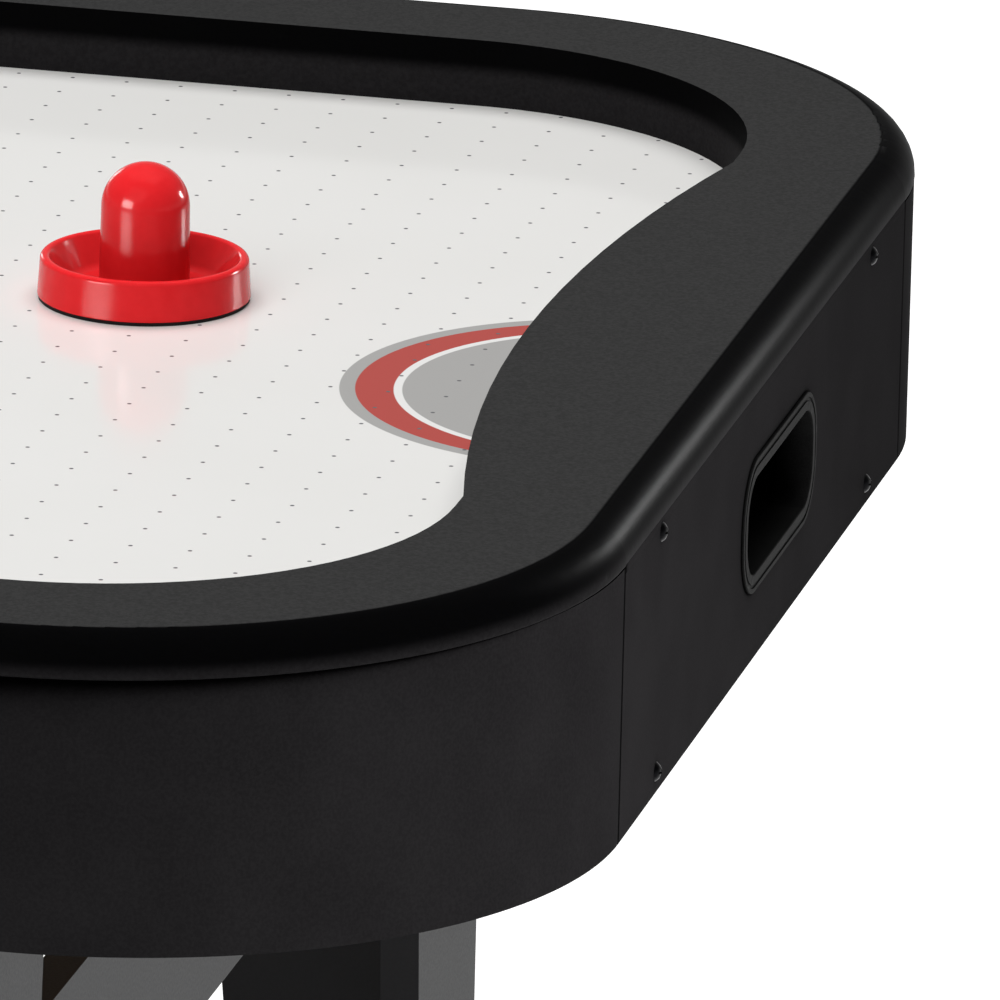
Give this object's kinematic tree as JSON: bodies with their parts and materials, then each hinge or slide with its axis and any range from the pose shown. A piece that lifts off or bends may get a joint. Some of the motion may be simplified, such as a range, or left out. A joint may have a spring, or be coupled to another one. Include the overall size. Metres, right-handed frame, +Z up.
{
  "type": "air hockey table",
  "caption": "Full-size air hockey table: white perforated playfield, black rounded rails and cabinet, tapered legs, red strikers and pucks, blower underneath.",
  "frame": {"origin": "on the floor under the middle of the table", "axes": "+X along the table towards the end seen in the picture, +Y towards the far side, +Z up"},
  "size_m": [2.1386, 1.028, 0.83],
  "materials": {
    "playfield": "white gloss laminate on MDF, perforated print",
    "rail_wrap": "black leather-grain vinyl wrap on MDF, satin",
    "cabinet_wrap": "black vinyl wrap on MDF, satin",
    "leg_wrap": "black vinyl wrap on MDF, satin",
    "raw_board": "raw MDF, matte",
    "goal_plastic": "black moulded plastic, matte",
    "bezel_plastic": "black moulded plastic, satin",
    "screw_black": "black oxide steel",
    "bolt_zinc": "zinc-plated steel",
    "foot_rubber": "black rubber, matte",
    "blower_plastic": "black moulded plastic, matte",
    "motor_steel": "grey painted steel",
    "wheel_plastic": "white moulded plastic, matte",
    "control_metal": "black powder coat",
    "switch_plastic": "black plastic, matte",
    "rocker_plastic": "red plastic, gloss",
    "striker_plastic": "red moulded plastic, gloss",
    "striker_felt": "black felt",
    "puck_plastic": "red plastic, gloss"
  },
  "bodies": {
    "table": {"blower_housing": "blower_plastic", "blower_motor": "motor_steel", "blower_screws": "screw_black", "control_plate": "control_metal", "corner_panel_back_left": "cabinet_wrap", "corner_panel_back_right": "cabinet_wrap", "corner_panel_front_left": "cabinet_wrap", "corner_panel_front_right": "cabinet_wrap", "corner_rebound_back_left": "rail_wrap", "corner_rebound_back_right": "rail_wrap", "corner_rebound_front_left": "rail_wrap", "corner_rebound_front_right": "rail_wrap", "end_cleats": "raw_board", "end_panel_left": "cabinet_wrap", "end_panel_right": "cabinet_wrap", "end_panel_screws_left": "screw_black", "end_panel_screws_right": "screw_black", "end_rail_left": "rail_wrap", "end_rail_right": "rail_wrap", "end_stretcher_left": "leg_wrap", "end_stretcher_right": "leg_wrap", "goal_box_left": "goal_plastic", "goal_box_right": "goal_plastic", "intake_grille": "blower_plastic", "leg_back_left": "leg_wrap", "leg_back_right": "leg_wrap", "leg_bolts": "bolt_zinc", "leg_front_left": "leg_wrap", "leg_front_right": "leg_wrap", "playfield": "playfield", "plenum_floor": "raw_board", "plenum_frame": "raw_board", "plenum_ribs": "raw_board", "power_inlet": "switch_plastic", "return_bezel_left": "bezel_plastic", "return_bezel_right": "bezel_plastic", "side_apron_back": "cabinet_wrap", "side_apron_front": "cabinet_wrap", "side_rail_back": "rail_wrap", "side_rail_front": "rail_wrap", "side_rebound_back": "rail_wrap", "side_rebound_front": "rail_wrap", "switch_housing": "switch_plastic"},
    "impeller_wheel": {"impeller": "wheel_plastic"},
    "power_rocker": {"rocker_switch": "rocker_plastic"},
    "striker_right": {"striker_shell_right": "striker_plastic", "striker_felt_right": "striker_felt"},
    "puck_body_right": {"puck_right": "puck_plastic"},
    "foot_back_right": {"leveler_pad_back_right": "foot_rubber"},
    "stud_back_right": {"leveler_stud_back_right": "bolt_zinc"},
    "foot_front_right": {"leveler_pad_front_right": "foot_rubber"},
    "stud_front_right": {"leveler_stud_front_right": "bolt_zinc"},
    "striker_left": {"striker_shell_left": "striker_plastic", "striker_felt_left": "striker_felt"},
    "puck_body_left": {"puck_left": "puck_plastic"},
    "foot_back_left": {"leveler_pad_back_left": "foot_rubber"},
    "stud_back_left": {"leveler_stud_back_left": "bolt_zinc"},
    "foot_front_left": {"leveler_pad_front_left": "foot_rubber"},
    "stud_front_left": {"leveler_stud_front_left": "bolt_zinc"}
  },
  "joints": [
    {"name": "impeller_spin", "type": "hinge", "parent": "table", "child": "impeller_wheel", "pos_m": [-0.042, 0, 0.618], "axis": [0, 1, 0], "continuous": true},
    {"name": "rocker_press", "type": "hinge", "parent": "table", "child": "power_rocker", "pos_m": [-0.524, 0.504, 0.688], "axis": [1, 0, 0], "range_deg": [0, 16]},
    {"name": "striker_glide_right", "type": "slide", "parent": "table", "child": "striker_right", "axis": [1, 0, 0], "range_m": [-0.6, 0.14]},
    {"name": "striker_glide_left", "type": "slide", "parent": "table", "child": "striker_left", "axis": [1, 0, 0], "range_m": [-0.25, 0.45]},
    {"name": "puck_glide_right", "type": "slide", "parent": "table", "child": "puck_body_right", "axis": [1, 0, 0], "range_m": [-1.3, 0.5]},
    {"name": "puck_glide_left", "type": "slide", "parent": "table", "child": "puck_body_left", "axis": [1, 0, 0], "range_m": [-0.5, 1.3]},
    {"name": "foot_drop_back_right", "type": "slide", "parent": "table", "child": "foot_back_right", "axis": [0, 0, -1], "range_m": [0, 0.02]},
    {"name": "stud_turn_back_right", "type": "hinge", "parent": "foot_back_right", "child": "stud_back_right", "pos_m": [0.802, 0.454, 0.01], "axis": [0, 0, -1], "range_deg": [0, 4801]},
    {"name": "foot_drop_front_right", "type": "slide", "parent": "table", "child": "foot_front_right", "axis": [0, 0, -1], "range_m": [0, 0.02]},
    {"name": "stud_turn_front_right", "type": "hinge", "parent": "foot_front_right", "child": "stud_front_right", "pos_m": [0.802, -0.454, 0.01], "axis": [0, 0, -1], "range_deg": [0, 4801]},
    {"name": "foot_drop_back_left", "type": "slide", "parent": "table", "child": "foot_back_left", "axis": [0, 0, -1], "range_m": [0, 0.02]},
    {"name": "stud_turn_back_left", "type": "hinge", "parent": "foot_back_left", "child": "stud_back_left", "pos_m": [-0.802, 0.454, 0.01], "axis": [0, 0, -1], "range_deg": [0, 4801]},
    {"name": "foot_drop_front_left", "type": "slide", "parent": "table", "child": "foot_front_left", "axis": [0, 0, -1], "range_m": [0, 0.02]},
    {"name": "stud_turn_front_left", "type": "hinge", "parent": "foot_front_left", "child": "stud_front_left", "pos_m": [-0.802, -0.454, 0.01], "axis": [0, 0, -1], "range_deg": [0, 4801]}
  ],
  "couplings": [
    {"joint": "stud_turn_back_right", "follows": "foot_drop_back_right", "rad_per_m": 4188.8},
    {"joint": "stud_turn_front_right", "follows": "foot_drop_front_right", "rad_per_m": 4188.8},
    {"joint": "stud_turn_back_left", "follows": "foot_drop_back_left", "rad_per_m": 4188.8},
    {"joint": "stud_turn_front_left", "follows": "foot_drop_front_left", "rad_per_m": 4188.8}
  ]
}
